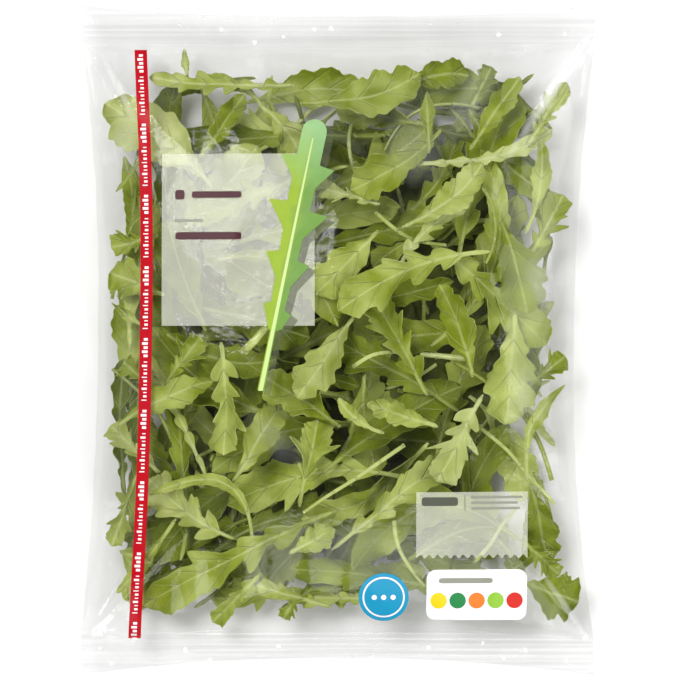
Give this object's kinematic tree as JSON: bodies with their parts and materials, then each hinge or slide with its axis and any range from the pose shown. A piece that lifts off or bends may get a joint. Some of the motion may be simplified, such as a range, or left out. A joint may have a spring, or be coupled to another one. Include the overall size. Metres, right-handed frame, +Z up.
{
  "type": "bag of salad leaves",
  "caption": "Clear sealed pillow bag full of rocket salad leaves, lying on its back, with a red stripe, pale print panels and a leaf picture.",
  "frame": {"origin": "on the table under the middle of the bag, which lies on its back", "axes": "+Z up out of the printed front, +Y towards the top seal, +X to the right as the print is read"},
  "size_m": [0.2528, 0.33, 0.0593],
  "materials": {
    "salad_leaves": "fresh rocket leaves seen through clear film",
    "clear_film": "clear glossy polypropylene film",
    "red_ink": "solid print under gloss film",
    "white_veil_ink": "see-through white print",
    "leaf_green_ink": "print",
    "blue_ink": "print",
    "white_ink": "print"
  },
  "bodies": {
    "root": {"bag": "salad_leaves", "stripe": "red_ink", "front_panel": "white_veil_ink", "leaf_picture": "leaf_green_ink", "weight_panel": "white_veil_ink", "round_mark": "blue_ink", "colour_mark": "white_ink"}
  },
  "joints": []
}
